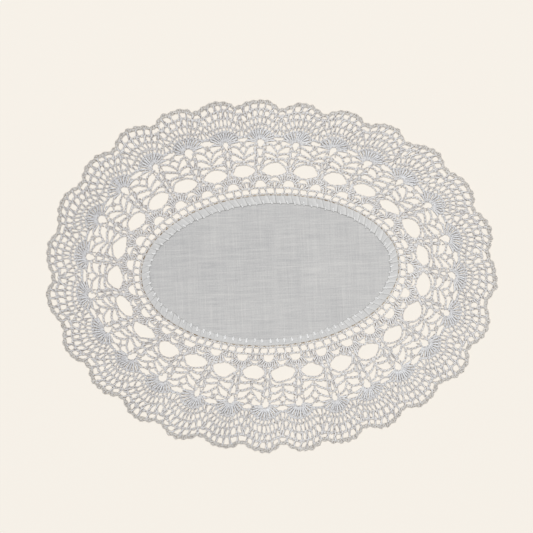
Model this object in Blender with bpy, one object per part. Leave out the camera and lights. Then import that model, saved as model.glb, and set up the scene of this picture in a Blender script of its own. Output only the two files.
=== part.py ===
"""Oval lace doily lying flat: a hemmed linen centre with a crocheted border of 27 fans.

The border is drawn in its own coordinates: a place along it, counted in fans, and a height
above the seam. border_point() lays them round the oval.
"""

import bisect
import math
from collections import namedtuple

import bmesh
import bpy
from mathutils import Vector

MM = 0.001

# Thickness of the cloth, its rolled hem and the crochet.
LINEN_THICK = 1.0 * MM
HEM_THICK = 1.5 * MM
LACE_THICK = 1.5 * MM
HEM_WIDTH = 4.8 * MM
HEM_LAP = 2.0 * MM  # how far the sheet runs in under the roll
SEAM_GAP = 0.3 * MM  # clear space between the hem and the lace

FANS = 27
BORDER_HEIGHT = 60.0 * MM  # from the seam to the even line of the fans' tips

# The border runs between two ovals. across and up are measured from the middle of the linen.
Oval = namedtuple("Oval", "half_length half_width across up tilt_deg")
SEAM_OVAL = Oval(80.8 * MM, 47.7 * MM, 0.0 * MM, 0.0 * MM, 2.8)
TIP_OVAL = Oval(140.4 * MM, 109.3 * MM, 0.1 * MM, -2.5 * MM, -1.8)
TILT_FADE = 3  # the linen's tilt is nearly gone by the eye row

# Where the work stretches out or draws in: at which fan, over how many fans, how far.
Swell = namedtuple("Swell", "at spread rise")
SWELLS = [
    Swell(1.7, 1.6, 2.5 * MM),
    Swell(5.4, 1.6, -2.8 * MM),
    Swell(9.7, 1.5, 2.5 * MM),
    Swell(13.1, 1.3, -1.6 * MM),
    Swell(17.2, 1.0, 1.8 * MM),
    Swell(23.0, 1.2, -1.8 * MM),
    Swell(26.5, 0.7, -0.8 * MM),
]

# The fans bunch up a little at one end: each row gives one wave of that shift, in fans.
Wave = namedtuple("Wave", "times_round peak shift")
BUNCHING = [
    Wave(1, 15.6, 0.095),
    Wave(2, 16.6, 0.075),
]
FIRST_EYE = 0.63  # place of the first eye, in fans from the right-hand end
SEAM_LEAN = -0.14  # lean of the first rows along the seam, in fans, gone by the eyes

# Scallop of one fan.
TIP_RISE = 1.1 * MM
SCALLOP_DEPTH = 4.9 * MM
SCALLOP_POWER = 2.6
SCALLOP_STEPS = 12

# The eyes are pointed almonds, the arches are half ovals with the flat side to the seam.
EYE_HEIGHT = 15.3 * MM
EYE_HALF_HEIGHT = 4.6 * MM
EYE_HALF_WIDTH = 0.375  # in fans
EYE_STEPS = 6
ARCH_FOOT = 4.6 * MM
ARCH_HEIGHT = 4.6 * MM
ARCH_HALF_WIDTH = 0.21  # in fans
ARCH_STEPS = 6

OVAL_STEPS = 96
WALK_STEPS = 1440


def walk_round(half_length, half_width):
    """Share of an oval's rim walked at each of WALK_STEPS even steps of angle."""
    walked = [0.0]
    last = Vector((half_length, 0.0))
    for step in range(1, WALK_STEPS + 1):
        angle = math.tau * step / WALK_STEPS
        here = Vector((half_length * math.cos(angle), half_width * math.sin(angle)))
        walked.append(walked[-1] + (here - last).length)
        last = here
    return [length / walked[-1] for length in walked]


WALKED = walk_round(
    (SEAM_OVAL.half_length + TIP_OVAL.half_length) / 2,
    (SEAM_OVAL.half_width + TIP_OVAL.half_width) / 2,
)


def even_angle(share):
    """Angle at which this share of the middle oval's rim has been walked."""
    share %= 1.0
    step = bisect.bisect_right(WALKED, share) - 1
    part = (share - WALKED[step]) / (WALKED[step + 1] - WALKED[step])
    return math.tau * (step + part) / WALK_STEPS


def bunching(place):
    """Shift along the edge, in fans."""
    return sum(
        wave.shift * math.cos(math.tau * wave.times_round * (place - wave.peak) / FANS)
        for wave in BUNCHING
    )


def swelling(place):
    """How far the tips stand out from the even oval here."""
    total = 0.0
    for swell in SWELLS:
        away = (place - swell.at + FANS / 2) % FANS - FANS / 2
        total += swell.rise * math.exp(-((away / swell.spread) ** 2))
    return total


def border_point(place, height):
    """Point of the border at a place in fans and a height above the seam."""
    share = height / BORDER_HEIGHT
    out = share + share**2 * swelling(place) / BORDER_HEIGHT
    lean = SEAM_LEAN * max(0.0, 1 - height / EYE_HEIGHT)
    angle = even_angle((place + FIRST_EYE + bunching(place) + lean) / FANS)

    def blend(name, weight):
        return getattr(SEAM_OVAL, name) * (1 - weight) + getattr(TIP_OVAL, name) * weight

    along = blend("half_length", out) * math.cos(angle)
    aside = blend("half_width", out) * math.sin(angle)
    tilt = math.radians(blend("tilt_deg", 1 - (1 - min(share, 1.0)) ** TILT_FADE))
    return Vector(
        (
            blend("across", share) + along * math.cos(tilt) - aside * math.sin(tilt),
            blend("up", share) + along * math.sin(tilt) + aside * math.cos(tilt),
        )
    )


def scalloped_edge():
    """Outline of the 27 fans, valley by valley."""
    points = []
    for fan in range(FANS):
        for step in range(SCALLOP_STEPS):
            across = step / SCALLOP_STEPS - 0.5
            dip = SCALLOP_DEPTH * abs(2 * across) ** SCALLOP_POWER
            points.append(border_point(fan + 0.5 + across, BORDER_HEIGHT + TIP_RISE - dip))
    return points


def oval(inset):
    """The seam's oval, drawn in by inset."""
    tilt = math.radians(SEAM_OVAL.tilt_deg)
    points = []
    for step in range(OVAL_STEPS):
        angle = math.tau * step / OVAL_STEPS
        along = (SEAM_OVAL.half_length - inset) * math.cos(angle)
        aside = (SEAM_OVAL.half_width - inset) * math.sin(angle)
        points.append(
            Vector(
                (
                    along * math.cos(tilt) - aside * math.sin(tilt),
                    along * math.sin(tilt) + aside * math.cos(tilt),
                )
            )
        )
    return points


def eye(fan):
    """Almond hole between two columns, pointed at both ends."""
    points = []
    for side in (1, -1):
        for step in range(EYE_STEPS):
            across = side * (1 - 2 * step / EYE_STEPS)
            bulge = side * EYE_HALF_HEIGHT * (1 - across**2)
            points.append(border_point(fan + EYE_HALF_WIDTH * across, EYE_HEIGHT + bulge))
    return points


def arch(fan):
    """Half-oval hole at the foot of a column, flat side to the seam."""
    points = []
    for step in range(ARCH_STEPS + 1):
        turn = math.pi * step / ARCH_STEPS
        across = ARCH_HALF_WIDTH * math.cos(turn)
        rise = ARCH_HEIGHT * math.sin(turn)
        points.append(border_point(fan + 0.5 + across, ARCH_FOOT + rise))
    return points


def flat_outline(name, outlines, thickness, shift):
    """A flat solid standing on z = 0, from closed outlines, the inner ones being holes."""
    curve = bpy.data.curves.new("outline", "CURVE")
    curve.dimensions = "2D"
    curve.fill_mode = "BOTH"
    curve.extrude = thickness / 2
    for outline in outlines:
        spline = curve.splines.new("POLY")
        spline.points.add(len(outline) - 1)
        spline.use_cyclic_u = True
        for point, place in zip(spline.points, outline):
            point.co = (place.x - shift.x, place.y - shift.y, 0.0, 1.0)
    drawn = bpy.data.objects.new("outline", curve)
    drawn.location.z = thickness / 2
    bpy.context.scene.collection.objects.link(drawn)
    bpy.context.view_layer.update()
    evaluated = drawn.evaluated_get(bpy.context.evaluated_depsgraph_get())
    mesh = bpy.data.meshes.new_from_object(evaluated)
    welded = bmesh.new()
    welded.from_mesh(mesh)
    bmesh.ops.remove_doubles(welded, verts=welded.verts, dist=0.001 * MM)
    welded.to_mesh(mesh)
    welded.free()
    solid = bpy.data.objects.new(name, mesh)
    solid.matrix_world = drawn.matrix_world
    bpy.data.objects.remove(drawn)
    mesh.name = name
    return solid


def cloth_material(name, colour, roughness):
    material = bpy.data.materials.new(name)
    material.use_nodes = True
    shader = material.node_tree.nodes["Principled BSDF"]
    shader.inputs["Base Color"].default_value = (*colour, 1.0)
    shader.inputs["Roughness"].default_value = roughness
    shader.inputs["Metallic"].default_value = 0.0
    return material


def linen_centre(collection, cutters, shift):
    """The thin sheet, with the rolled hem joined on round its edge."""
    sheet = flat_outline("linen_centre", [oval(HEM_WIDTH - HEM_LAP)], LINEN_THICK, shift)
    hem = flat_outline("linen_hem", [oval(0.0), oval(HEM_WIDTH)], HEM_THICK, shift)
    hem.hide_render = True
    hem.display_type = "WIRE"
    cutters.objects.link(hem)
    join = sheet.modifiers.new("hem", "BOOLEAN")
    join.operation = "UNION"
    join.solver = "EXACT"
    join.object = hem
    sheet.data.materials.append(cloth_material("linen", (0.57, 0.57, 0.56), 0.85))
    collection.objects.link(sheet)


def lace_border(collection, shift):
    """The crocheted ring: scalloped outside, open at its eyes and arches."""
    outlines = [scalloped_edge(), oval(-SEAM_GAP)]
    outlines += [eye(fan) for fan in range(FANS)]
    outlines += [arch(fan) for fan in range(FANS)]
    ring = flat_outline("lace_border", outlines, LACE_THICK, shift)
    ring.data.materials.append(cloth_material("crochet_cotton", (0.52, 0.52, 0.53), 0.9))
    collection.objects.link(ring)


def middle_of(points):
    """Middle of the box round the points."""
    xs = [point.x for point in points]
    ys = [point.y for point in points]
    return Vector(((min(xs) + max(xs)) / 2, (min(ys) + max(ys)) / 2))


def build():
    for old in list(bpy.data.objects):
        bpy.data.objects.remove(old)
    doily = bpy.data.collections.new("lace_doily")
    cutters = bpy.data.collections.new("cutters")
    bpy.context.scene.collection.children.link(doily)
    bpy.context.scene.collection.children.link(cutters)
    middle = middle_of(scalloped_edge())
    linen_centre(doily, cutters, middle)
    lace_border(doily, middle)


build()
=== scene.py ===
import bisect
import math
import random

import bpy
from mathutils import Matrix, Vector, noise


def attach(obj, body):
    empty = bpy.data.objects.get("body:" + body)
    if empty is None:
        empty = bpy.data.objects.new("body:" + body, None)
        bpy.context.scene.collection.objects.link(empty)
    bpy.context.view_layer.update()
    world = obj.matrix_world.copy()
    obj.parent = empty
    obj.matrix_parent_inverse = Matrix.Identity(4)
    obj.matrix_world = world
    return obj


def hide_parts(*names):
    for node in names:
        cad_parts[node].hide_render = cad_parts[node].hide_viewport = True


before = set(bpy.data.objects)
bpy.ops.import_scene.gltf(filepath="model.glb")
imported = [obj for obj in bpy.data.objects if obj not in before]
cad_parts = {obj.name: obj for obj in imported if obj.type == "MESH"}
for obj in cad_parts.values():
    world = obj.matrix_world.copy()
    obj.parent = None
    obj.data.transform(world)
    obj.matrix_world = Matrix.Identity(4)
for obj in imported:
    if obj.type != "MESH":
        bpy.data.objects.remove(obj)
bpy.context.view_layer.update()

mm = 0.001
scene = bpy.context.scene
scene.view_settings.view_transform = "Standard"


# the border is charted by place, one for each fan, and by mm of height above the seam
chart = {
    "fans": 27,
    "height": 60.0,
    "fanWidth": (15.2, 14.0),  # mm from one fan to the next at the seam, and how much more at the tips
    "firstEye": 0.63,  # in fans from the end of the oval
    "eyeHeight": 15.3,
    "seamLean": -0.14,  # the rounds below the eyes lean over by so many fans at the seam
    "tiltFade": 3,  # how fast the seam's tilt gives way to that of the tips
    "seam": {"halfLength": 80.8, "halfWidth": 47.7, "across": 0.0, "up": 0.0, "tilt": 2.8},
    "tips": {"halfLength": 140.4, "halfWidth": 109.3, "across": 0.1, "up": -2.5, "tilt": -1.8},
    # where the outline swells out or draws in: place, spread, mm
    "swells": (
        (1.7, 1.6, 2.5),
        (5.4, 1.6, -2.8),
        (9.7, 1.5, 2.5),
        (13.1, 1.3, -1.6),
        (17.2, 1.0, 1.8),
        (23.0, 1.2, -1.8),
        (26.5, 0.7, -0.8),
    ),
    # the fans are bunched here and there: times round, peak, shift
    "bunches": ((1, 15.6, 0.095), (2, 16.6, 0.075)),
    "tipRise": 1.1,  # from the chart's height to the top of a scallop
    "scallopDepth": 4.9,
    "scallopPower": 2.6,
    # hand work is never quite even: wavelength and amplitude, mm
    "wobble": ((26.0, 0.5), (11.0, 1.1), (4.5, 0.8), (2.4, 0.3)),
    "steady": (-2.0, 14.0, 0.22),  # it starts small at the seam and is in full swing here, mm
}
noise.seed_set(1910)  # the same unevenness each time
fans = chart["fans"]
eyes = range(fans)  # an eye stands below each gap between two fans


def walkRound(halfLength, halfWidth, steps=1440):
    walked = [0.0]
    last = Vector((halfLength, 0.0))
    for step in range(1, steps + 1):
        angle = math.tau * step / steps
        point = Vector((halfLength * math.cos(angle), halfWidth * math.sin(angle)))
        walked.append(walked[-1] + (point - last).length)
        last = point
    return [length / walked[-1] for length in walked]


walked = walkRound(
    (chart["seam"]["halfLength"] + chart["tips"]["halfLength"]) / 2,
    (chart["seam"]["halfWidth"] + chart["tips"]["halfWidth"]) / 2,
)


def evenAngle(share):
    share %= 1.0
    step = bisect.bisect_right(walked, share) - 1
    part = (share - walked[step]) / (walked[step + 1] - walked[step])
    return math.tau * (step + part) / (len(walked) - 1)


def bunched(place):
    return sum(
        shift * math.cos(math.tau * times * (place - peak) / fans)
        for times, peak, shift in chart["bunches"]
    )


def swollen(place):
    total = 0.0
    for at, spread, rise in chart["swells"]:
        away = (place - at + fans / 2) % fans - fans / 2
        total += rise * math.exp(-((away / spread) ** 2))
    return total


def evenPoint(place, height):
    share = height / chart["height"]
    out = share + share**2 * swollen(place) / chart["height"]
    lean = chart["seamLean"] * max(0.0, 1 - height / chart["eyeHeight"])
    angle = evenAngle((place + chart["firstEye"] + bunched(place) + lean) / fans)
    seam, tips = chart["seam"], chart["tips"]

    def blend(name, weight):
        return seam[name] * (1 - weight) + tips[name] * weight

    along = blend("halfLength", out) * math.cos(angle)
    aside = blend("halfWidth", out) * math.sin(angle)
    tilt = math.radians(blend("tilt", 1 - (1 - min(share, 1.0)) ** chart["tiltFade"]))
    return Vector(
        (
            blend("across", share) + along * math.cos(tilt) - aside * math.sin(tilt),
            blend("up", share) + along * math.sin(tilt) + aside * math.cos(tilt),
        )
    )


def scallopedEdge(steps=12):
    points = []
    for fan in range(fans):
        for step in range(steps):
            across = step / steps - 0.5
            dip = chart["scallopDepth"] * abs(2 * across) ** chart["scallopPower"]
            points.append(evenPoint(fan + 0.5 + across, chart["height"] + chart["tipRise"] - dip))
    return points


edgePoints = scallopedEdge()
middle = Vector((min(p[i] for p in edgePoints) + max(p[i] for p in edgePoints)) / 2 for i in range(2))


def chartPoint(place, height):
    point = evenPoint(place, height) - middle
    start, full, least = chart["steady"]
    swing = min(max((height - start) / (full - start), least), 1.0)
    for length, amount in chart["wobble"]:
        push = noise.noise_vector(Vector((point.x / length, point.y / length, length)))
        point = point + Vector((push.x, push.y)) * amount * swing
    return point


# how far the mesh rows and the edge stand above the seam, mm,
# at 0, 0.1, 0.2, 0.3, 0.4 and 0.5 of a fan from the middle of it
levels = {
    "fanTop": (41.3, 41.2, 40.3, 38.8, 36.6, 37.4),
    "rowOne": (44.7, 44.6, 44.0, 42.8, 41.0, 42.2),
    "rowTwo": (49.3, 49.2, 48.7, 47.4, 45.8, 48.2),
    "rowThree": (54.1, 54.0, 53.6, 52.6, 50.9, 51.6),
    "underEdge": (58.6, 58.5, 57.9, 56.8, 55.1, 54.7),
    "edge": (59.8, 59.7, 59.1, 58.0, 56.2, 55.7),
}


def between(a, b, c, d, t):  # on the smooth curve from b to c that comes from a and goes on to d
    return b + 0.5 * t * (c - a + t * (2 * a - 5 * b + 4 * c - d + t * (3 * (b - c) + d - a)))


def levelAt(name, place):
    table = levels[name]
    last = len(table) - 1
    across = abs((place % 1.0) - 0.5) * 2 * last
    step = min(int(across), last - 1)

    def at(i):  # mirrored about both ends
        return table[-i if i < 0 else 2 * last - i if i > last else i]

    return between(*(at(step + i) for i in (-1, 0, 1, 2)), across - step)


def fanWidth(height):
    atSeam, gain = chart["fanWidth"]
    return atSeam + gain * height / chart["height"]


def deselectAll():
    if bpy.context.object and bpy.context.object.mode != "OBJECT":
        bpy.ops.object.mode_set(mode="OBJECT")
    bpy.ops.object.select_all(action="DESELECT")


def activate(obj):
    deselectAll()
    obj.select_set(True)
    bpy.context.view_layer.objects.active = obj


def editMode(on=True):
    bpy.ops.object.mode_set(mode="EDIT" if on else "OBJECT")


def pickVertices(obj, test):
    editMode()
    bpy.ops.mesh.select_mode(type="VERT")
    bpy.ops.mesh.select_all(action="DESELECT")
    editMode(False)
    for vertex in obj.data.vertices:
        vertex.select = test(vertex.co)
    editMode()


def turnOutwards():
    bpy.ops.mesh.select_all(action="SELECT")
    bpy.ops.mesh.normals_make_consistent(inside=False)
    editMode(False)


def applyAll(obj):
    activate(obj)
    for modifier in list(obj.modifiers):
        bpy.ops.object.modifier_apply(modifier=modifier.name)


# how deep each part of a stitch lies between its threads, for the painted shade that falls there,
# and how much painted shade its sides take
def shadeCrevices(stitch, depthOf, reach, shading):
    crevice = stitch.data.attributes.new("crevice", "FLOAT", "POINT")
    side = stitch.data.attributes.new("side", "FLOAT", "POINT")
    deep, clear = reach
    foot = shading.get("bareFoot", 0)
    for vertex, grooveShade, sideShade in zip(stitch.data.vertices, crevice.data, side.data):
        along = vertex.co.x / mm
        depth = (clear - depthOf(vertex.co) / mm) / (clear - deep)
        bare = min(max((along - foot) / post["bareFade"], 0.0), 1.0) if foot else 1.0
        sideShade.value = shading["flankShade"] * bare
        grooveShade.value = min(max(depth, 0.0), 1.0) * bare * shading["groove"]
        # painted shade on the ends, where they are caught in the row below or above
        if "ends" in shading and not post["grip"] < along < post["length"] - post["grip"]:
            grooveShade.value = shading["ends"]


# where each strand of a stitch lies on its UV map, as shares of the map
strip = {"start": 0.1, "length": 0.8, "endGap": 0.06, "endSize": (0.04, 0.2)}


# lays a stitch's strands out flat side by side, as its UV map
def unroll(stitch, strands, unrolledAt):
    layout = stitch.data.uv_layers.new(name="OFBake")
    polygons = stitch.data.polygons
    for polygon in polygons:
        strand = polygon.index * strands // len(polygons)
        corners = [unrolledAt(stitch.data.vertices[i].co, strand) for i in polygon.vertices]
        for axis in (0, 1):  # a face that closes a ring ends at 1, not at 0
            closing = max(c[axis] for c in corners) - min(c[axis] for c in corners) > 0.5
            for corner in corners:
                corner[axis] += closing and corner[axis] < 0.5
        if len(corners) > 4:  # the cut ends of a strand are small discs beyond it
            end = -strip["endGap"] if corners[0][0] < 0.5 else 1 + strip["endGap"]
            long, wide = strip["endSize"]
            turns = [math.tau * around for along, around in corners]
            corners = [(end + long * math.cos(t), 0.5 + wide * math.sin(t)) for t in turns]
        for loop, (along, around) in zip(polygon.loop_indices, corners):
            spot = (strip["start"] + strip["length"] * along, (strand + around) / strands)
            layout.data[loop].uv = spot


# a tall stitch is two plump loops of thread wound round each other
post = {
    "length": 4.0,
    "width": 1.2,
    "sides": 5,
    "steps": 6,
    "thread": 0.38,
    "offset": 0.26,
    "groove": (0.15, 0.42),  # painted shade is deepest this near the middle, and ends this far out
    "grip": 0.4,  # how much of each end is caught in the row below or above
    "bareFade": 0.7,  # over which a bare foot comes to take painted shade
    "phases": 3,  # each is modelled wound from three starts, so that neighbours differ
}


def modelPost(name, turns, widths, shading, phase):
    deselectAll()
    bpy.ops.mesh.primitive_circle_add(
        vertices=post["sides"],
        radius=post["thread"] * mm,
        fill_type="NGON",
        location=(0, post["offset"] * mm, 0),
        rotation=(0, math.pi / 2, 0),
    )
    strand = bpy.context.object
    strand.name = name
    bpy.ops.object.transform_apply(location=True, rotation=True, scale=True)
    editMode()
    for step in range(post["steps"]):
        bpy.ops.mesh.extrude_region_move(
            TRANSFORM_OT_translate={"value": (post["length"] / post["steps"] * mm, 0, 0)}
        )
    bpy.ops.mesh.select_all(action="SELECT")
    bpy.ops.mesh.duplicate()
    bpy.ops.transform.rotate(value=math.pi, orient_axis="X", center_override=(0, 0, 0))
    editMode(False)

    def unrolledAt(co, strand):
        flip = -1 if strand else 1
        turn = math.atan2(co.z * flip, co.y * flip - post["offset"] * mm) / math.tau
        return [co.x / mm / post["length"], round(turn * post["sides"]) % post["sides"] / post["sides"]]

    unroll(strand, 2, unrolledAt)
    editMode()
    bpy.ops.mesh.select_all(action="SELECT")
    bpy.ops.transform.rotate(
        value=math.pi * phase / post["phases"], orient_axis="X", center_override=(0, 0, 0)
    )
    turnOutwards()
    twist = strand.modifiers.new("twist", "SIMPLE_DEFORM")
    twist.deform_method = "TWIST"
    twist.deform_axis = "X"
    twist.angle = math.tau * turns
    applyAll(strand)
    # spread where it grips the rows below and above, slimmer between them, and pressed flat
    stepLength = post["length"] / post["steps"]
    for step, width in enumerate(widths):
        pickVertices(strand, lambda co: round(co.x / mm / stepLength) == step)
        bpy.ops.transform.resize(value=(1, width, min(width, 1.0)), center_override=(0, 0, 0))
    editMode(False)
    shadeCrevices(strand, lambda co: math.hypot(co.y, co.z), post["groove"], shading)
    return strand


# a chain link is one teardrop loop that comes up through the one before it
link = {
    "length": 3.0,
    "pitch": 2.05,  # from one link to the next
    "width": 1.4,
    "segments": 8,
    "sides": 5,
    "thread": 0.36,
    "stretch": 0.7,
    "pinch": (1, 0.78, 0.9),
    "rise": 9,  # degrees
    "hole": (-0.2, 0.7),  # its middle, and how far it reaches each way
    "groove": (0.0, 0.27),
    "shading": {"flankShade": 0.5, "groove": 1.1},
}


def modelLink(name):
    deselectAll()
    radius = link["width"] / 2 - link["thread"]
    bpy.ops.mesh.primitive_torus_add(
        major_segments=link["segments"],
        minor_segments=link["sides"],
        major_radius=radius * mm,
        minor_radius=link["thread"] * mm,
        location=(0, 0, 0),
    )
    loop = bpy.context.object
    loop.name = name

    def unrolledAt(co, strand):
        out = math.hypot(co.x, co.y) - radius * mm
        turns = ((math.atan2(co.y, co.x), link["segments"]), (math.atan2(co.z, out), link["sides"]))
        return [round(turn / math.tau * count) % count / count for turn, count in turns]

    unroll(loop, 1, unrolledAt)
    # drawn out long, with its tail pinched where it comes up through the loop before
    pickVertices(loop, lambda co: co.x > 0)
    bpy.ops.transform.translate(value=(link["stretch"] * mm, 0, 0))
    pickVertices(loop, lambda co: co.x < 0)
    bpy.ops.transform.translate(value=(-link["stretch"] * mm, 0, 0))
    bpy.ops.transform.resize(value=link["pinch"], center_override=(0, 0, 0))
    bpy.ops.mesh.select_all(action="SELECT")
    bpy.ops.transform.rotate(
        value=math.radians(link["rise"]), orient_axis="Y", center_override=(0, 0, 0)
    )
    turnOutwards()

    def fromHole(co):  # the ends of the loop lie clear of it
        middle, reach = link["hole"]
        return abs(co.y) if abs(co.x / mm - middle) <= reach else link["groove"][1] * mm

    # painted shade along the slit of the loop and on its flanks
    shadeCrevices(loop, fromHole, link["groove"], link["shading"])
    return loop


print("modelling the stitches")
# turns from foot to top, how wide it is at each step of its length, and its painted shade
postKinds = {
    "double": (
        0.6,
        (0.75, 1.12, 0.97, 0.93, 0.97, 1.15, 0.8),
        {"flankShade": 0.85, "groove": 1.0, "ends": 0.5},
    ),
    "treble": (
        0.4,
        (0.4, 0.58, 0.74, 0.88, 1.0, 1.12, 0.7),
        {"bareFoot": 0.9, "flankShade": 0.9, "groove": 0.8, "ends": 0.1},
    ),
    "rung": (0.5, (1.6, 1.2, 0.9, 0.82, 0.9, 1.2, 1.6), {"flankShade": 0.8, "groove": 0.95, "ends": 0.1}),
}
for kind, flankShade, ends in (("shell", 1.3, 0.4), ("picot", 1.6, 0.6)):
    widths = (0.7, 0.85, 0.92, 0.98, 1.06, 1.15, 0.8)
    postKinds[kind] = (0.3, widths, {"flankShade": flankShade, "groove": 1.2, "ends": ends})
masters = {"chain": modelLink("chainLink")}
for kind, (turns, widths, shading) in postKinds.items():
    for phase in range(post["phases"]):
        masters[f"{kind}{phase}"] = modelPost(f"{kind}Stitch{phase}", turns, widths, shading, phase)
for master in masters.values():
    master.hide_render = True
    master.hide_viewport = True


# how uneven the work is: along the round in fans, up and lift in mm, the rest as shares
byHand = {
    "foot": (0.004, 0.1, 0.04),
    "top": (0.006, 0.12, 0.05),
    "postWidth": (0.85, 1.17),
    "postThick": (0.85, 1.0),
    "linkLift": 0.05,
    "linkWidth": (0.93, 1.07),
    "linkThick": (0.9, 1.05),
    "roll": 0.3,
}
random.seed(11)


def give(amount):
    return random.uniform(-amount, amount)


class Round:  # the stitches of one round of the border
    def __init__(self, name, soil=0.0):
        self.name = name
        self.soil = soil  # how much more than the rest it is handled
        self.stitches = {kind: [] for kind in masters}

    def lay(self, kind, start, end, width, thick, even=False):
        if kind != "chain":
            kind += str(0 if even else random.randrange(post["phases"]))
        self.stitches[kind].append((start, end, width, thick, give(byHand["roll"])))


def raised(point, z):
    return Vector((point.x, point.y, z))


def layPost(work, low, high, width, kind="double", z=(0.55, 0.65), even=False):
    foot, top = byHand["foot"], byHand["top"]
    start = chartPoint(low[0] + give(foot[0]), low[1] + give(foot[1]))
    end = chartPoint(high[0] + give(top[0]), high[1] + give(top[1]))
    start, end = raised(start, z[0] + give(foot[2])), raised(end, z[1] + give(top[2]))
    width *= random.uniform(*byHand["postWidth"])
    work.lay(kind, start, end, width, random.uniform(*byHand["postThick"]), even)


def laySide(work, middlePlace, side, low, high, width, kind="double", even=False):
    low, high = ((middlePlace + side * x, h) for x, h in (low, high))
    layPost(work, low, high, width, kind, even=even)


def smoothPath(points, perLeg=6):
    ends = [2 * points[0] - points[1]] + list(points) + [2 * points[-1] - points[-2]]
    path = []
    for a, b, c, d in zip(ends, ends[1:], ends[2:], ends[3:]):
        path.extend(between(a, b, c, d, step / perLeg) for step in range(perLeg))
    path.append(points[-1])
    return path


def evenSteps(path, count):
    lengths = [0.0]
    for a, b in zip(path, path[1:]):
        lengths.append(lengths[-1] + (b - a).length)
    steps = []
    for i in range(count + 1):
        at = lengths[-1] * i / count
        leg = min(max(bisect.bisect_right(lengths, at) - 1, 0), len(path) - 2)
        span = lengths[leg + 1] - lengths[leg]
        steps.append(path[leg].lerp(path[leg + 1], (at - lengths[leg]) / span if span else 0))
    return steps


def layChain(work, points, pitch, width, z=0.78, smooth=True):
    path = [Vector(p) for p in points]
    if smooth:
        path = smoothPath(path)
    path = [chartPoint(p.x, p.y) for p in path]
    length = sum((b - a).length for a, b in zip(path, path[1:]))
    steps = evenSteps(path, max(1, round(length / pitch)))
    for a, b in zip(steps, steps[1:]):
        along = (b - a).normalized()
        over = (b - a).length * (link["length"] / link["pitch"] - 1) / 2  # each runs into the next
        lift = z + give(byHand["linkLift"])
        start, end = raised(a - along * over, lift), raised(b + along * over, lift)
        wide = width * random.uniform(*byHand["linkWidth"])
        work.lay("chain", start, end, wide, random.uniform(*byHand["linkThick"]))


def layRing(work, heightAt, pitch, width, z=0.78, steps=540):  # a chain all round the doily
    places = [i * fans / steps for i in range(steps + 1)]
    layChain(work, [(place, heightAt(place)) for place in places], pitch, width, z, smooth=False)


def mirrored(points):
    left = [(-x, h) for x, h in reversed(points)]
    if points[0][0] == 0:
        left = left[:-1]
    return left + list(points)


def placed(points, place):
    return [(x + place, h) for x, h in points]


patchGap = 0.04  # round each stitch's square of the UV map


def buildRound(work):
    parts = []
    count = sum(len(stitches) for stitches in work.stitches.values())
    patches = math.ceil(math.sqrt(count))
    patch = 0
    for kind, stitches in work.stitches.items():
        if not stitches:
            continue
        centred = kind == "chain"
        size = link if centred else post
        spots, turns, sizes, tones, corners = [], [], [], [], []
        for start, end, width, thick, roll in stitches:
            along = end - start
            across = Vector((0, 0, 1)).cross(along).normalized()
            up = along.normalized().cross(across)
            turn = Matrix((along.normalized(), across, up)).transposed()
            spots.append(((start + end) / 2 if centred else start) * mm)
            turns.extend((turn @ Matrix.Rotation(roll, 3, "X")).to_euler())
            sizes.extend((along.length / size["length"], width / size["width"], thick))
            tones.append(random.random() - work.soil)
            # every stitch has a square of the UV map to itself
            corners.extend((patch % patches + patchGap, patch // patches + patchGap, 0.0))
            patch += 1
        cloud = bpy.data.meshes.new(f"{work.name}-{kind}")
        cloud.from_pydata(spots, [], [])
        for name, values, kindOf, field in (
            ("turn", turns, "FLOAT_VECTOR", "vector"),
            ("size", sizes, "FLOAT_VECTOR", "vector"),
            ("tone", tones, "FLOAT", "value"),
            ("patch", [c / patches for c in corners], "FLOAT_VECTOR", "vector"),
        ):
            cloud.attributes.new(name, kindOf, "POINT").data.foreach_set(field, values)
        part = bpy.data.objects.new(cloud.name, cloud)
        scene.collection.objects.link(part)
        stitchTree(part, masters[kind], (1 - 2 * patchGap) / patches)
        applyAll(part)
        for name in ("turn", "size", "patch"):
            part.data.attributes.remove(part.data.attributes[name])
        parts.append(part)
    deselectAll()
    for part in parts:
        part.select_set(True)
    bpy.context.view_layer.objects.active = parts[0]
    if len(parts) > 1:
        bpy.ops.object.join()
    piece = bpy.context.object
    piece.name = work.name
    piece.data.name = work.name
    print(f"{work.name}: {count} stitches, {triangleCount(piece)} triangles")
    return piece


def triangleCount(piece):
    return sum(len(polygon.vertices) - 2 for polygon in piece.data.polygons)


def stitchTree(part, master, patchSize):
    tree = bpy.data.node_groups.new(f"lay-{part.name}", "GeometryNodeTree")
    for way in ("INPUT", "OUTPUT"):
        tree.interface.new_socket("Geometry", in_out=way, socket_type="NodeSocketGeometry")
    named = "GeometryNodeInputNamedAttribute"
    turn, size, unrolled, patch = (
        addNode(tree, named, {"Name": name}, data_type="FLOAT_VECTOR").outputs["Attribute"]
        for name in ("turn", "size", "OFBake", "patch")
    )
    cloth = addNode(tree, "NodeGroupInput")
    stitch = addNode(tree, "GeometryNodeObjectInfo", {"Object": master})
    rotation = addNode(tree, "FunctionNodeEulerToRotation", {"Euler": turn})
    laid = addNode(
        tree,
        "GeometryNodeInstanceOnPoints",
        {
            "Points": cloth.outputs["Geometry"],
            "Instance": stitch.outputs["Geometry"],
            "Rotation": rotation.outputs["Rotation"],
            "Scale": size,
        },
    )
    real = addNode(tree, "GeometryNodeRealizeInstances", {"Geometry": laid.outputs["Instances"]})
    smooth = addNode(tree, "GeometryNodeSetShadeSmooth", {"Geometry": real.outputs["Geometry"]})
    moved = {0: unrolled, 1: (patchSize, patchSize, 0), 2: patch}
    moved = addNode(tree, "ShaderNodeVectorMath", moved, operation="MULTIPLY_ADD")
    mapped = addNode(
        tree,
        "GeometryNodeStoreNamedAttribute",
        {"Geometry": smooth.outputs["Geometry"], "Name": "OFBake", "Value": moved.outputs[0]},
        data_type="FLOAT2",
        domain="CORNER",
    )
    addNode(tree, "NodeGroupOutput", {"Geometry": mapped.outputs["Geometry"]})
    part.modifiers.new("stitches", "NODES").node_group = tree


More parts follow.
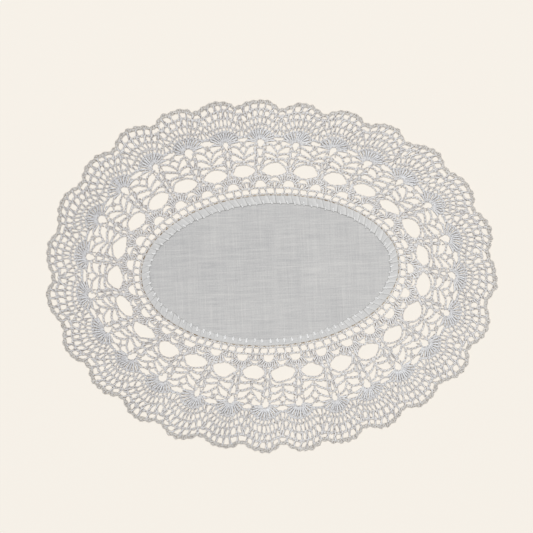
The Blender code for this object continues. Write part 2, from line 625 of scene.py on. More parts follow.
def addNode(tree, kind, inputs=None, **settings):
    node = tree.nodes.new(kind)
    for name, value in settings.items():
        setattr(node, name, value)
    for name, value in (inputs or {}).items():
        socket = node.inputs[name]
        if isinstance(value, bpy.types.NodeSocket):
            tree.links.new(value, socket)
        else:
            socket.default_value = value
    return node


ladder = {
    "soil": -0.3,
    "cells": 86,
    "low": 0.0,
    "high": 3.75,
    "lean": 0.02,
    "uneven": (0.014, 0.045, 0.02),  # feet, tops and grips, in fans
    "overlap": 0.2,
    "post": 1.65,
    "grip": -1.3,  # it goes down over the rim of the linen
    "gripWidth": 1.32,
    "gripLift": (1.0, 0.75),
    # height, pitch, width, lift, steps
    "chains": ((3.85, 2.0, 1.5, 0.78, 216), (0.0, 2.2, 1.15, 0.6, 216)),
}


def workLadder():
    work = Round("ladderRound", ladder["soil"])
    unevenFoot, unevenTop, unevenGrip = ladder["uneven"]
    step = fans / ladder["cells"]
    for i in range(ladder["cells"]):
        place = i * step + give(unevenFoot)
        top = (place + ladder["lean"] + give(unevenTop), ladder["high"])
        layPost(work, (place, ladder["low"] - ladder["overlap"]), top, ladder["post"], "rung")
        grip = (place + give(unevenGrip), ladder["grip"])
        foot = (place, ladder["low"] + ladder["overlap"])
        layPost(work, grip, foot, ladder["gripWidth"], z=ladder["gripLift"])
    for height, *chain in ladder["chains"]:
        layRing(work, lambda place: height, *chain)
    return work


arches = {
    "soil": -0.2,
    "post": 1.65,
    # the stitches on one side of a shell, whose middle stays open: foot and top, in fans and mm
    "shell": (((0.075, 4.3), (0.09, 7.35)), ((0.14, 4.3), (0.215, 6.725))),
    # one half of each chain from its middle, then its pitch, width and lift
    "shellTop": (((0, 7.5), (0.1, 7.35), (0.18, 6.9), (0.245, 6.3)), 1.9, 1.38, 0.78),
    "loop": (((0, 8.8), (0.1, 8.65), (0.175, 7.9), (0.22, 6.6), (0.235, 4.5)), 2.1, 1.3, 0.6),
    "top": (((0, 10.85), (0.1, 10.8), (0.2, 10.6), (0.3, 10.3), (0.37, 10.2)), 1.9, 1.2, 0.78),
    "rim": (((0, 10.65), (0.08, 10.45), (0.145, 9.6), (0.18, 8.3)), 1.9, 1.5, 0.78),
    "tilt": 2.5,  # how much one side of a loop may stand above the other, mm in a fan
    "over": 9,  # stitches over each arch
    "spread": 1.1,
    "feet": (1.4, 0.205, 5.6, 3.1),  # turn, reach in fans, middle and reach in mm
    "tops": (0.35, 10.8, 0.9, 2.4),  # reach in fans, height and fall in mm, power of the fall
}


def workArches():
    work = Round("archRound", arches["soil"])

    def chain(name, place, slope=0.0):
        points, *how = arches[name]
        line = [(x, h + slope * x) for x, h in mirrored(points)]
        layChain(work, placed(line, place), *how)

    turn, footReach, footMiddle, footRise = arches["feet"]
    topReach, topHeight, fall, power = arches["tops"]
    for eye in eyes:
        for low, high in arches["shell"]:
            for side in (-1, 1):
                laySide(work, eye, side, low, high, arches["post"], "shell", even=True)
        chain("shellTop", eye)
        arch = eye + 0.5
        chain("loop", arch, give(arches["tilt"]))
        for i in range(arches["over"]):
            t = ((i + 0.5) / arches["over"] * 2 - 1) * arches["spread"]
            low = (arch + footReach * math.sin(t * turn), footMiddle + footRise * math.cos(t * turn))
            high = (arch + topReach * t, topHeight - fall * abs(t) ** power)
            layPost(work, low, high, arches["post"], "shell", even=True)
        chain("top", arch)
        chain("rim", eye)
    return work


columns = {
    # each shell, in fans from its middle and mm: inner foot, outer foot, foot height, inner top,
    # outer top, top height, width of its chain
    "shells": (
        (0.125, 0.165, 10.4, 0.115, 0.135, 12.7, 1.0),
        (0.075, 0.090, 11.0, 0.080, 0.094, 14.1, 1.2),
        (0.036, 0.065, 14.3, 0.084, 0.145, 18.0, 1.5),
        (0.038, 0.080, 18.3, 0.092, 0.165, 22.9, 1.55),
        (0.040, 0.085, 23.2, 0.098, 0.150, 28.2, 1.6),
    ),
    "wide": (0.8, 1.15),  # no two are worked alike
    "longer": 0.35,
    "outerDrop": (0.1, 0.4),  # how much lower its outer stitches start and end
    "chainRise": 0.1,
    "pitch": 1.9,
    "post": 1.3,
    # the legs, and what closes the end of the long petal hole
    "thin": (((0.03, 29.1), (0.15, 32.3)), ((0.15, 29.0), (0.13, 30.7))),
    "thinWidth": 0.845,
}


def workColumns():
    work = Round("shellColumns")
    footDrop, topDrop = columns["outerDrop"]
    for eye in eyes:
        middlePlace = eye + 0.5
        for innerFoot, outerFoot, foot, innerTop, outerTop, top, bar in columns["shells"]:
            wide, longer = random.uniform(*columns["wide"]), give(columns["longer"])
            innerFoot, innerTop, top = innerFoot * wide, innerTop * wide, top + longer
            outerEnd = (outerTop, top - topDrop)
            for side in (-1, 1):
                for kind, low, high in (
                    ("rung", (innerFoot, foot), (innerTop, top)),
                    ("shell", (outerFoot, foot - footDrop), outerEnd),
                ):
                    laySide(work, middlePlace, side, low, high, columns["post"], kind)
            crown = top + columns["chainRise"]
            cap = mirrored([(0, crown), (innerTop, crown), outerEnd])
            layChain(work, placed(cap, middlePlace), columns["pitch"], bar)
        for side in (-1, 1):
            for low, high in columns["thin"]:
                laySide(work, middlePlace, side, low, high, columns["thinWidth"])
    return work


eyeBars = {
    "pitch": 2.2,
    # each bar: width, how far out from the middle of an eye in fans, how high in mm
    "lowerRim": (1.5, (0.13, 0.22, 0.3, 0.37, 0.435), (10.9, 11.35, 12.1, 13.1, 14.4)),
    "upperRim": (
        1.35,
        (0, 0.1, 0.2, 0.28, 0.35, 0.41, 0.44),
        (19.9, 19.8, 19.1, 18.1, 16.9, 15.7, 14.9),
    ),
    "second": (2.0, (0, 0.1, 0.2, 0.3, 0.37), (21.2, 21.4, 21.8, 21.5, 20.7)),
    "third": (1.85, (0, 0.06, 0.15, 0.25, 0.34, 0.42), (23.5, 24.2, 25.2, 26.0, 26.2, 26.0)),
    "fourth": (
        1.75,
        (0, 0.05, 0.1, 0.18, 0.27, 0.35, 0.43),
        (25.8, 27.3, 28.8, 30.3, 31.0, 31.3, 31.0),
    ),
    "stem": (1.25, (0.115, 0.055, 0.036, 0.08, 0.2, 0.34), (29.5, 31.0, 32.5, 33.7, 34.2, 34.5)),
    # short stitches that tie the bars together: from, to
    "ties": (
        ((0.022, 20.8), (0.022, 24.6)),
        ((0.0, 23.6), (0.012, 26.4)),
        ((0.014, 30.9), (0.02, 33.9)),
    ),
    "tieWidth": 0.85,
    # no two eyes are worked alike: how much their bars sag in mm, and tilt in mm in a fan
    "sag": 0.9,
    "tilt": 1.75,
    "halfWidth": 0.44,
    "steady": (28, 34),  # but all are even at the fans, mm
}


def workBars():
    work = Round("eyeBars")
    start, full = eyeBars["steady"]
    for eye in eyes:
        sag, tilt = give(eyeBars["sag"]), give(eyeBars["tilt"])

        def uneven(points):
            moved = []
            for x, h in points:
                swing = min(max((full - h) / (full - start), 0), 1)
                moved.append((x, h + (sag * (1 - abs(x) / eyeBars["halfWidth"]) + tilt * x) * swing))
            return moved

        def bar(width, line):
            layChain(work, placed(line, eye), eyeBars["pitch"], width)

        for name in ("upperRim", "second", "third", "fourth"):
            width, out, up = eyeBars[name]
            bar(width, uneven(mirrored(list(zip(out, up)))))
        for name in ("lowerRim", "stem"):
            width, out, up = eyeBars[name]
            for side in (-1, 1):
                half = [(side * x, h) for x, h in zip(out, up)]
                bar(width, uneven(half) if name == "stem" else half)
        for tie in eyeBars["ties"]:
            for side in (-1, 1):
                low, high = placed(uneven([(side * x, h) for x, h in tie]), eye)
                layPost(work, low, high, eyeBars["tieWidth"])
    return work


fanShape = {
    "trebles": 13,
    "spread": 78,  # degrees to each side
    "uneven": 0.8,
    "middle": 32.5,
    "inner": 2.7,
    "width": 2.0,
    # how long a treble reaches at each angle
    "reach": ((0, 8.4), (16, 8.5), (33, 8.8), (50, 9.1), (66, 9.6), (78, 8.9), (94, 5.0)),
    # the ring it is worked into: degrees to each side, points, radius, pitch, width, lift
    "ring": (110, 9, 2.75, 2.0, 1.3, 0.6),
    "top": (2.0, 1.8),  # pitch and width of the chain over it
}


def reachAt(angle):
    table = fanShape["reach"]
    for (a, ra), (b, rb) in zip(table, table[1:]):
        if angle <= b:
            return ra + (rb - ra) * (angle - a) / (b - a)
    return table[-1][1]


def workFans():
    work = Round("fanTrebles")
    count = fanShape["trebles"]
    halfTurn, points, radius, *chain = fanShape["ring"]
    for fan in eyes:
        centre = fan + 0.5

        def fromCentre(degrees, radius):
            angle = math.radians(degrees)
            height = fanShape["middle"] + radius * math.cos(angle)
            return (centre + radius * math.sin(angle) / fanWidth(height), height)

        for i in range(count):
            degrees = ((i + 0.5) / count * 2 - 1) * fanShape["spread"] * count / (count - 1)
            degrees += give(fanShape["uneven"])
            foot = fromCentre(degrees, fanShape["inner"])
            top = fromCentre(degrees, reachAt(abs(degrees)))
            layPost(work, foot, top, fanShape["width"], "treble", even=True)
        turns = [halfTurn * (2 * i / (points - 1) - 1) for i in range(points)]
        layChain(work, [fromCentre(turn, radius) for turn in turns], *chain)
    layRing(work, lambda place: levelAt("fanTop", place), *fanShape["top"])
    return work


meshBands = {
    "soil": 0.15,
    "uneven": (0.03, 0.015),  # of the skew and of the drift, in fans
    "lift": (0.7, 0.75),
    "barLift": 0.6,
    # each row: the levels it goes from and to, how much it skews, where the stitches on one side of
    # the middle start, and where they end, all in fans
    "innerMesh": {
        "post": 1.4,
        "bar": (2.1, 1.75),  # pitch and width
        "rows": (
            (
                "fanTop",
                "rowOne",
                -0.01,
                (0, 0.085, 0.17, 0.245, 0.32, 0.42),
                (0, 0.1, 0.2, 0.3, 0.39, 0.462),
            ),
            (
                "rowOne",
                "rowTwo",
                -0.01,
                (0.05, 0.145, 0.235, 0.32, 0.485),
                (0.06, 0.175, 0.285, 0.385, 0.435),
            ),
        ),
    },
    "outerMesh": {
        "post": 1.95,
        "bar": (2.2, 2.05),
        "rows": (
            ("rowTwo", "rowThree", -0.03, (0.066, 0.195, 0.305, 0.47), (0.074, 0.22, 0.355, 0.485)),
            ("rowThree", "underEdge", -0.035, (0.078, 0.225, 0.37), (0.09, 0.265, 0.415)),
        ),
    },
}


def workMesh(name):
    work = Round(name, meshBands["soil"])
    band = meshBands[name]
    unevenSkew, unevenDrift = meshBands["uneven"]
    for lowLevel, highLevel, skewed, starts, ends in band["rows"]:
        for fan in eyes:
            skew = skewed + give(unevenSkew)
            drift = give(unevenDrift)
            for start, end in zip(starts, ends):
                for side in (-1, 1) if start else (1,):
                    low = fan + 0.5 + side * start + drift * (1 - 2 * start)
                    high = fan + 0.5 + side * end + (drift + skew) * (1 - 2 * end)
                    foot, top = (low, levelAt(lowLevel, low)), (high, levelAt(highLevel, high))
                    layPost(work, foot, top, band["post"], "rung", meshBands["lift"])
        if highLevel != "underEdge":
            layRing(work, lambda place: levelAt(highLevel, place), *band["bar"], meshBands["barLift"])
    return work


edging = {
    "soil": 0.6,
    "bumps": 6,
    "bumpRise": 2.0,
    "bumpMiddle": 0.65,
    "bumpPower": 0.7,
    "stitches": 18,
    "uneven": 0.01,
    "overlap": 0.2,
    "post": 1.55,
    # its chains: pitch, width, lift, steps
    "under": (2.2, 1.6),
    "over": (1.55, 1.35, 0.6, 810),
}


def edgeHeight(place):
    wave = abs(math.cos(math.pi * edging["bumps"] * (place % 1.0 - 0.5))) ** edging["bumpPower"]
    return levelAt("edge", place) + edging["bumpRise"] * (wave - edging["bumpMiddle"])


def underEdge(place):
    return levelAt("underEdge", place)


def workEdging():
    work = Round("picotEdging", edging["soil"])
    for i in range(edging["stitches"] * fans):
        place = i / edging["stitches"]
        low = (place, underEdge(place) - edging["overlap"])
        high = (place + give(edging["uneven"]), edgeHeight(place))
        layPost(work, low, high, edging["post"], "picot")
    layRing(work, underEdge, *edging["under"])
    layRing(work, edgeHeight, *edging["over"])
    return work


def linear(hexColour):
    values = [int(hexColour[i : i + 2], 16) / 255 for i in (1, 3, 5)]
    return [v / 12.92 if v <= 0.04045 else ((v + 0.055) / 1.055) ** 2.4 for v in values] + [1.0]


def newMaterial(name):
    material = bpy.data.materials.new(name)
    material.use_nodes = True
    tree = material.node_tree
    tree.nodes.clear()
    return material, tree


def ranged(tree, value, start, end, least=0.0, most=1.0):
    ends = {"From Min": start, "From Max": end, "To Min": least, "To Max": most}
    return addNode(tree, "ShaderNodeMapRange", {"Value": value, **ends}).outputs["Result"]


def reckoned(tree, operation, *values):
    return addNode(tree, "ShaderNodeMath", dict(enumerate(values)), operation=operation).outputs[0]


def blended(tree, share, one, other):
    one, other = (linear(c) if isinstance(c, str) else c for c in (one, other))
    return addNode(tree, "ShaderNodeMix", {0: share, 6: one, 7: other}, data_type="RGBA").outputs[2]


def axisOf(tree, vector, axis):
    return addNode(tree, "ShaderNodeSeparateXYZ", {"Vector": vector}).outputs[axis]


def attributesOf(tree, *names):
    kind = "ShaderNodeAttribute"
    return [addNode(tree, kind, attribute_name=name).outputs["Fac"] for name in names]


def placeOn(tree):
    return addNode(tree, "ShaderNodeTexCoord").outputs["Object"]


def coat(tree, inputs):
    shader = addNode(tree, "ShaderNodeBsdfPrincipled", inputs)
    addNode(tree, "ShaderNodeOutputMaterial", {"Surface": shader.outputs["BSDF"]})


# where four numbers stand together, a value between the first two gives a share between the others
cotton = {
    "age": (0.05, 2.0),  # size of the patches in m, detail
    "fuzz": (0.0009, 1.0),
    "shadeGradient": (-0.14, 0.0, -0.55, 0.0),  # painted shade: one end of the doily is greyer, m
    "weights": (0.9, 0.5),  # of age, and of each stitch's tone
    "shades": (0.6, 1.8),
    "upright": (0.95, 0.35),  # how far a side faces up where its painted warm shade starts and is full
    # the yellow tint of that painted warm shade
    "warmSideTint": "#f3dfb9",
    # painted shade on the flanks, deeper the less they face up
    "flankShade": (0.78, 0.0, 0.0, 0.68),
    "fleck": (0.4, 0.25, 0.0, 0.3),
    # noise that makes the painted shade and the specks weaker in places and stronger in others
    "patchyShade": (0.62, 0.32, 0.45, 1.6),
    "finish": {"Roughness": 0.8, "Sheen Weight": 0.1},
}


def spunCotton(name, dark, light, crease, warmSideShade=0.0):
    # crochet cotton, mercerised, then washed many times: matt, grey-white, with a trace of sheen;
    # each stitch has its own tone, with painted shade deep between its threads and on its flanks
    material, tree = newMaterial(name)
    tone, crevice, clear = attributesOf(tree, "tone", "crevice", "side")
    facing = axisOf(tree, addNode(tree, "ShaderNodeNewGeometry").outputs["Normal"], "Z")
    where = placeOn(tree)
    age, fuzz = (
        addNode(tree, "ShaderNodeTexNoise", {"Vector": where, "Scale": 1 / size, "Detail": detail})
        for size, detail in (cotton["age"], cotton["fuzz"])
    )
    age, fuzz = age.outputs["Fac"], fuzz.outputs["Fac"]
    ageWeight, toneWeight = cotton["weights"]
    # painted shade: the doily is greyer towards one end
    shadeGradient = ranged(tree, axisOf(tree, where, "X"), *cotton["shadeGradient"])
    agedAndShaded = reckoned(tree, "MULTIPLY_ADD", age, ageWeight, shadeGradient)
    spunAndShaded = reckoned(tree, "ADD", fuzz, reckoned(tree, "MULTIPLY_ADD", tone, toneWeight, agedAndShaded))
    thread = blended(tree, ranged(tree, spunAndShaded, *cotton["shades"]), dark, light)
    # painted warm shade: the sides of a stitch, facing less upwards, are tinted yellow
    aside = ranged(tree, facing, *cotton["upright"], most=warmSideShade)
    thread = blended(tree, aside, thread, cotton["warmSideTint"])
    # painted shade on the flanks of a stitch too, strongest for the kinds that stand close to the next
    flankShade = reckoned(tree, "MULTIPLY", ranged(tree, facing, *cotton["flankShade"]), clear)
    shadeAndSpecks = reckoned(tree, "MAXIMUM", crevice, flankShade)
    shadeAndSpecks = reckoned(tree, "MAXIMUM", shadeAndSpecks, ranged(tree, fuzz, *cotton["fleck"]))
    # noise makes the painted shade and the specks weaker in places and stronger in others
    shadeAndSpecks = reckoned(tree, "MULTIPLY", shadeAndSpecks, ranged(tree, fuzz, *cotton["patchyShade"]))
    # the darkest colour is painted shade in the grooves and on the flanks, and also colours the random
    # specks
    coat(tree, {"Base Color": blended(tree, shadeAndSpecks, thread, crease), **cotton["finish"]})
    return material


def addPiece(work, thread):
    piece = buildRound(work)
    piece.data.materials.clear()
    piece.data.materials.append(thread)
    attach(piece, "root")
    return piece


print("working the border")
# the thick fans keep the most of the washing blue and take less painted warm shade on their sides, and
# the rim has turned yellow from handling
cottons = {
    "border": spunCotton("crochetCotton", "#d7d7da", "#fafbfd", "#5a4028", 0.45),
    "fanTrebles": spunCotton("bluedCotton", "#d3d4d8", "#f8fafd", "#5a4028", 0.25),
    "picotEdging": spunCotton("handledCotton", "#d1d0cf", "#f7f6f5", "#5a4028", 0.45),
}
laceWork = [
    workLadder(),
    workArches(),
    workColumns(),
    workBars(),
    workFans(),
    workMesh("innerMesh"),
    workMesh("outerMesh"),
    workEdging(),
]
for work in laceWork:
    piece = addPiece(work, cottons.get(work.name, cottons["border"]))
    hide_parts("lace_border")

# the middle is one oval of linen, its rim turned back over itself and tucked to follow the curve
linen = {
    "rim": -0.95,  # where the folded rim lies on the chart, mm
    "thick": 0.24,
    "low": 0.14,  # middle of the single cloth above the floor
    "rings": (0.04, 0.1, 0.18, 0.27, 0.36, 0.45, 0.54, 0.62, 0.7, 0.77, 0.83, 0.88, 0.92, 0.955, 0.98),
    # how the laid cloth rises between its flat places: length, width, layer and share of each wave
    "waves": ((34, 26, 3.0, 1.0), (11, 9, 8.0, 0.4)),
    "ripple": 0.22,
    "afloat": 0.15,
    "calm": 6,  # how fast it dies away to the rim
    "tucks": 86,
    "across": (0.0, 0.05, 0.17, 0.4, 0.62, 0.8, 0.9, 0.965),  # columns of a tuck
    "ridge": {0.05: 1.0, 0.17: 0.75},  # the columns that stand up as the ridge of a tuck, and how much painted highlight each takes
    "valley": 0.95,  # its cloth goes in under the next from here on, and takes painted shade
    "hem": (5.1, 3.5),  # its width round most of the cloth, and along the near side
    "nearSide": (-48, 13, 62),  # middle, softness and reach, mm
    "eased": 0.9,  # how much less it is tucked there
    "depths": (0.1, 0.28, 0.46, 0.64, 0.82, 1.0),
    "rise": 0.62,  # from the single cloth to the top of the hem
    "step": (0.12, 0.42),  # height of a tuck's fold
    "stepAtRim": 0.25,
    "creaseAtRim": 0.5,
    "lean": (-8, -30),  # degrees
    "uneven": {"place": 0.03, "deep": 0.34, "slant": 0.5, "ridgeHighlight": (0.35, 1.0)},
    "foldTone": (0.6, 0.004),  # painted highlight on the ridges: amid the cloth, and how much more for each mm to the back right
    # how strongly that painted highlight shows on a ridge
    "ridgeTone": 0.6,
    # the bend of the rim: how far out, share of the rise, how far out on the flat cloth, is it hem
    "bend": ((-0.2, 0.0, -0.2, 0.0), (0.0, 0.5, 0.2, 1.0), (-0.25, 1.0, 0.6, 1.0)),
    "flatGain": 0.4,  # the flat hem reaches so much further out than the laid one does in
    "pucker": (0.06, 1.7, 2),
    "edge": (0.2, 0.06, 0.9, 0.6),  # reach, height, reach on the flat cloth, painted shade at the hem's inner edge
    "glance": 0.03,  # how far ahead in fans it is seen which way the rim runs
    "smooth": 50,  # degrees
    "flat": (0.1732, 0.1068),
    "areaShare": 0.99,  # of a true ellipse
    "sheetSize": 0.18,
}


def layTucks():
    tucks = []
    middleUp, softness, reach = linen["nearSide"]
    uneven = linen["uneven"]
    wide, narrow = linen["hem"]
    tone, gain = linen["foldTone"]
    for i in range(linen["tucks"]):
        place = i * fans / linen["tucks"]
        spot = chartPoint(place, 0)
        near = math.exp(-(((spot.y - middleUp) / softness) ** 2)) * (abs(spot.x) < reach)
        strong = 1 - linen["eased"] * near
        tuck = {"place": place + give(uneven["place"]), "strong": strong}
        tuck["step"] = random.uniform(*linen["step"]) * strong
        tuck["lean"] = math.tan(math.radians(random.uniform(*linen["lean"]))) * strong
        tuck["deep"] = wide * strong + narrow * (1 - strong) + give(uneven["deep"]) * strong
        tuck["slant"] = give(uneven["slant"]) * strong
        # the painted highlight on its ridge is stronger towards the back right
        lit = tone + gain * (spot.x + spot.y)
        tuck["ridgeHighlight"] = strong * lit * random.uniform(*uneven["ridgeHighlight"])
        tucks.append(tuck)
    return tucks


def tuckColumns(tucks):  # how the rim lies at each column of each tuck
    lain = []
    for i, tuck in enumerate(tucks):
        after = tucks[(i + 1) % len(tucks)]
        until = after["place"] + (fans if i == len(tucks) - 1 else 0)

        def onTheWay(name, part):
            return tuck[name] + part * (after[name] - tuck[name])

        for part in linen["across"]:
            place = tuck["place"] + part * (until - tuck["place"])
            ahead, behind = (
                chartPoint(place + way * linen["glance"], linen["rim"]) for way in (1, -1)
            )
            along = (ahead - behind).normalized()
            column = {"rim": chartPoint(place, linen["rim"]), "along": along, "strong": tuck["strong"]}
            column["out"] = Vector((along.y, -along.x))
            column["lean"] = onTheWay("lean", part)
            column["rise"] = tuck["step"] * (1 - part)
            column["deep"] = onTheWay("deep", part / 2) + tuck["slant"] * (part - 0.5)
            column["crease"] = after["strong"] if part > linen["valley"] else 0.0
            column["ridge"] = tuck["ridgeHighlight"] * linen["ridge"].get(part, 0.0)
            lain.append(column)
    return lain


def modelLinen(tucks):
    lain = tuckColumns(tucks)
    low, top = linen["low"], linen["low"] + linen["rise"]
    centre = sum((column["rim"] for column in lain), Vector((0, 0))) / len(lain)
    spots = [Vector((*centre, low))]
    cut = [centre]  # the same cloth laid out flat before its rim was turned back
    hem, crease = [0.0], [0.0]

    def addSpot(point, z, flatPoint, hemmed=1.0, foldShading=0.0):
        spots.append(raised(point, z))
        cut.append(flatPoint)
        hem.append(hemmed)
        crease.append(foldShading)

    for column in lain:
        rim, out, along = column["rim"], column["out"], column["along"]
        for ring in linen["rings"]:
            point = centre + (rim - centre) * ring
            ripple = linen["afloat"]
            for length, width, layer, share in linen["waves"]:
                ripple += share * noise.noise(Vector((point.x / length, point.y / width, layer)))
            rise = max(ripple, 0) * linen["ripple"] * min(1.0, (1 - ring) * linen["calm"])
            addSpot(point, low + rise, point, 0.0)
        for away, share, flatAway, hemmed in linen["bend"]:
            addSpot(rim + out * away, low + linen["rise"] * share, rim + out * flatAway, hemmed)
        bend = -away  # the hem lies on from the last of them
        height, size, change = linen["pucker"]
        for depth in linen["depths"]:
            inward = bend + (column["deep"] - bend) * depth
            swing = along * column["lean"] * inward
            pucker = height * noise.noise(Vector((rim.x / size, rim.y / size, depth * change)))
            rise = column["rise"] * (linen["stepAtRim"] + (1 - linen["stepAtRim"]) * depth) + pucker
            # painted shade in the valley where the cloth goes under the next tuck, less at the rim, and
            # painted highlight on the ridge
            valley = column["crease"] * (linen["creaseAtRim"] + (1 - linen["creaseAtRim"]) * depth)
            flatPoint = rim + out * (inward + linen["flatGain"]) + swing
            foldShading = valley - linen["ridgeTone"] * column["ridge"]
            addSpot(rim - out * inward + swing, top + rise, flatPoint, foldShading=foldShading)
        reach, height, flatReach, foldShading = linen["edge"]
        inward = column["deep"] + reach
        swing = along * column["lean"] * inward
        flatPoint = rim + out * (inward + flatReach) + swing
        z = low + linen["thick"] + height
        addSpot(rim - out * inward + swing, z, flatPoint, foldShading=foldShading * column["strong"])

    perColumn = (len(spots) - 1) // len(lain)
    faces = []
    for i in range(len(lain)):
        here = 1 + i * perColumn
        there = 1 + (i + 1) % len(lain) * perColumn
        faces.append((0, here, there))
        faces.extend((here + j, here + j + 1, there + j + 1, there + j) for j in range(perColumn - 1))
    sheet = bpy.data.meshes.new("linenMiddle")
    sheet.from_pydata([spot * mm for spot in spots], [], faces)
    # along the tucks the cloth takes painted shade in its valleys and at the hem's inner edge, and
    # painted highlight on its ridges
    for name, values in (("hem", hem), ("crease", crease)):
        sheet.attributes.new(name, "FLOAT", "POINT").data.foreach_set("value", values)
    layout = sheet.uv_layers.new(name="OFBake")
    for loop in sheet.loops:
        spot = cut[loop.vertex_index] * mm / linen["sheetSize"]
        layout.data[loop.index].uv = (0.5 + spot.x, 0.5 + spot.y)
    piece = bpy.data.objects.new("linenMiddle", sheet)
    scene.collection.objects.link(piece)
    activate(piece)
    editMode()
    turnOutwards()
    wall = piece.modifiers.new("cloth", "SOLIDIFY")
    wall.thickness = linen["thick"] * mm
    wall.offset = 0
    applyAll(piece)
    bpy.ops.object.shade_smooth_by_angle(angle=math.radians(linen["smooth"]))
    print(f"{piece.name}: {triangleCount(piece)} triangles")
    return piece


weave = {
    "turn": -2.5,  # degrees that the yarns lie off the length of the oval
    # yarns are 0.35 mm apart, which is too fine to show, so they are drawn in twos and threes:
    # size across and along, mm, detail, weight
    "yarns": (
        (0.8, 24, 2.0, 0.6),
        (16, 0.8, 2.0, 1.05),
        (0.9, 0.9, 1.0, 0.65),
        (3.5, 90, 2.0, 0.3),
        (90, 3.0, 2.0, 0.35),
        (26, 40, 2.0, 0.4),
    ),
    "shadeGradient": (-0.08, 0.08, -0.12, 0.12),  # painted shade: one end is greyer, m
    "shades": (0.97, 2.27),
    "colours": ("#b2b2b3", "#d3d2d0"),
    # now and then a yarn is thicker and paler than the rest
    "strays": ((0.7, 45, 1.0), (45, 0.7, 1.0)),
    # what goes over the yarns: its share, then its tint
    "stray": ((0.7, 0.78, 0.0, 0.3), "#e4e2de"),
    "doubled": ((0.0, 1.0, 0.0, 0.38), "#e0e0df"),
    # painted shade in the tucks' valleys and along the hem's inner edge
    "sunk": ((0.0, 1.0, 0.0, 0.85), "#7b7874"),
    # painted highlight along the tucks' ridges
    "ridgeHighlight": ((0.0, -0.6, 0.0, 0.8), "#ecebe9"),
    "bump": {"Strength": 0.25, "Distance": 0.00008},
    "finish": {"Roughness": 0.9, "Sheen Weight": 0.08},
}


def wovenLinen():
    # linen lawn, plain woven from uneven flax yarn and washed soft: matt, no shine, with
    # thick and thin yarns that show as faint lines both ways; doubled cloth looks paler
    material, tree = newMaterial("wovenLinen")
    laidOut = addNode(tree, "ShaderNodeUVMap", uv_map="OFBake").outputs["UV"]
    turned = {"Vector": laidOut, "Rotation": (0, 0, math.radians(weave["turn"]))}
    grain = addNode(tree, "ShaderNodeMapping", turned).outputs["Vector"]
    flat = linen["sheetSize"] / mm  # so that the pattern is in mm of the flat cloth

    def yarns(across, along, detail):
        drawn = {"Vector": grain, "Scale": (flat / across, flat / along, 1.0)}
        drawn = addNode(tree, "ShaderNodeMapping", drawn).outputs["Vector"]
        inputs = {"Vector": drawn, "Scale": 1.0, "Detail": detail}
        return addNode(tree, "ShaderNodeTexNoise", inputs, noise_dimensions="2D").outputs["Fac"]

    # painted shade: the cloth is greyer towards one end
    total = ranged(tree, axisOf(tree, placeOn(tree), "X"), *weave["shadeGradient"])
    for *size, weight in weave["yarns"]:
        total = reckoned(tree, "MULTIPLY_ADD", yarns(*size), weight, total)
    colour = blended(tree, ranged(tree, total, *weave["shades"]), *weave["colours"])
    hem, crease = attributesOf(tree, "hem", "crease")
    layers = [("stray", yarns(*size)) for size in weave["strays"]]
    # the tucks' valleys and the hem's inner edge take painted shade, their ridges painted highlight
    for name, share in layers + [("doubled", hem), ("sunk", crease), ("ridgeHighlight", crease)]:
        reach, tint = weave[name]
        colour = blended(tree, ranged(tree, share, *reach), colour, tint)
    bump = addNode(tree, "ShaderNodeBump", {"Height": total, **weave["bump"]}).outputs["Normal"]
    coat(tree, {"Base Color": colour, "Normal": bump, **weave["finish"]})
    return material


# the hem is caught down with a whipped stitch at each tuck
hemStitches = {
    "length": 2.9,
    "width": 1.6,
    "thick": 0.5,
    "after": 0.08,  # in fans from the tuck's fold
    "overEdge": 0.75,  # where it starts beyond the hem's edge, mm
    "rise": (0.5, 0.42),
    "slant": -0.8,
    "uneven": {"place": 0.03, "length": (0.85, 1.15), "slant": 0.12},
    "sunk": 0.6,  # how much less of a stitch shows where the cloth is tucked
    "least": (0.6, 0.5),  # shares of its length and width where it is sunk all through
}


def workHemStitches(tucks):
    work = Round("hemStitches")
    uneven = hemStitches["uneven"]
    lowRise, highRise = hemStitches["rise"]
    shortest, narrowest = hemStitches["least"]
    for tuck in tucks:
        place = tuck["place"] + hemStitches["after"] + give(uneven["place"])
        spot = chartPoint(place, linen["rim"])
        ahead = (chartPoint(place + linen["glance"], linen["rim"]) - spot).normalized()
        out = Vector((ahead.y, -ahead.x))
        shown = 1 - hemStitches["sunk"] * tuck["strong"]
        length = hemStitches["length"] * random.uniform(*uneven["length"])
        length *= shortest + (1 - shortest) * shown
        slant = hemStitches["slant"] * (1 - shown) + give(uneven["slant"])
        inner = spot - out * (tuck["deep"] + hemStitches["overEdge"])
        outer = inner + out * length - ahead * length * slant
        start = raised(inner, linen["low"] + lowRise)
        end = raised(outer, linen["low"] + linen["rise"] + highRise + tuck["step"])
        width = hemStitches["width"] * (narrowest + (1 - narrowest) * shown)
        work.lay("double", start, end, width, hemStitches["thick"])
    return work


# a darker running thread shows along the seam between the feet of the ladder
seamThread = {
    "height": -0.9,
    "lift": (0.86, 0.9),
    "width": 0.62,
    "thick": 0.5,
    "fill": 0.46,  # how much of each gap it fills
    "uneven": {"place": 0.02, "length": (0.6, 1.1), "height": 0.08, "width": (0.7, 1.15)},
}


def workSeamThread():
    work = Round("seamThread")
    step = fans / ladder["cells"]
    uneven = seamThread["uneven"]
    for i in range(ladder["cells"]):
        centre = (i + 0.5) * step + give(uneven["place"])
        reach = step * seamThread["fill"] / 2 * random.uniform(*uneven["length"])
        start, end = (
            raised(chartPoint(centre + away, seamThread["height"] + give(uneven["height"])), lift)
            for away, lift in zip((-reach, reach), seamThread["lift"])
        )
        width = seamThread["width"] * random.uniform(*uneven["width"])
        work.lay("double", start, end, width, seamThread["thick"])
    return work


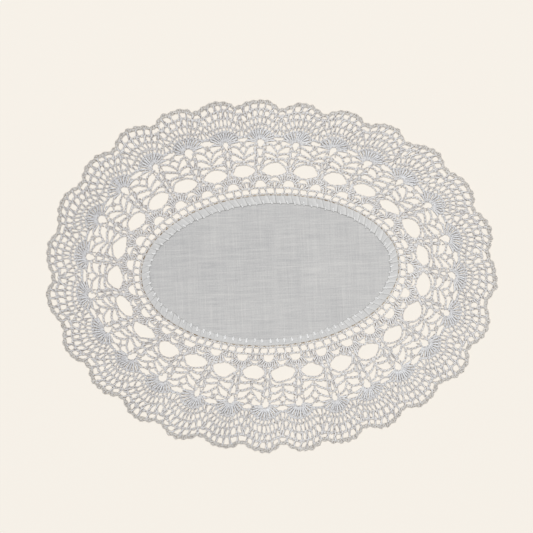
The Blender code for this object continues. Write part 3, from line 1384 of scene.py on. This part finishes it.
print("sewing the linen")
tucks = layTucks()
linenPiece = modelLinen(tucks)
linenPiece.data.materials.append(wovenLinen())
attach(linenPiece, "root")
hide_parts("linen_centre")

for work, thread in (
    (workHemStitches(tucks), spunCotton("sewingCotton", "#f8f8f8", "#ffffff", "#e4e3e1")),
    (workSeamThread(), spunCotton("agedSeamThread", "#76521f", "#e0cfb2", "#4a3418")),
):
    addPiece(work, thread)

for master in masters.values():
    bpy.data.objects.remove(master)

studio = {
    "floor": 6,
    "floorLevel": -0.1,  # mm
    "board": "#beb9b2",
    "glow": ("#f6f1e8", 0.45),
    "sky": ("#ffffff", 0.28),
    "lamp": (0.0, 2.0, 9.0),
    "lampSize": 3.25,
    "watts": 622.0,
    # the camera looks straight down, and sees so much of the floor's length
    "seen": 0.330,
    "middle": (-0.0031, 0.0059),
    "distance": 1.5,
    "sensor": 36,
}

print("setting the floor, light and camera")
deselectAll()
bpy.ops.mesh.primitive_plane_add(size=studio["floor"], location=(0, 0, studio["floorLevel"] * mm))
floor = bpy.context.object
floor.name = "floor"
# pale painted board, matt, in an even light
material, tree = newMaterial("paleBoard")
tint, strength = studio["glow"]
glow = {"Emission Color": linear(tint), "Emission Strength": strength}
coat(tree, {"Base Color": linear(studio["board"]), "Roughness": 1.0, **glow})
floor.data.materials.append(material)

world = bpy.data.worlds.new("studio")
scene.world = world
world.use_nodes = True
sky = world.node_tree.nodes["Background"].inputs
tint, strength = studio["sky"]
sky["Color"].default_value = linear(tint)
sky["Strength"].default_value = strength

deselectAll()
bpy.ops.object.light_add(type="AREA", location=studio["lamp"])
lamp = bpy.context.object
lamp.data.shape = "DISK"
lamp.data.size = studio["lampSize"]
lamp.data.energy = studio["watts"]
lamp.rotation_euler = lamp.location.to_track_quat("Z", "Y").to_euler()

deselectAll()
bpy.ops.object.camera_add(location=(*studio["middle"], studio["distance"]), rotation=(0, 0, 0))
camera = bpy.context.object
camera.data.sensor_width = studio["sensor"]
camera.data.sensor_fit = "HORIZONTAL"
camera.data.lens = studio["sensor"] * studio["distance"] / studio["seen"]
scene.camera = camera
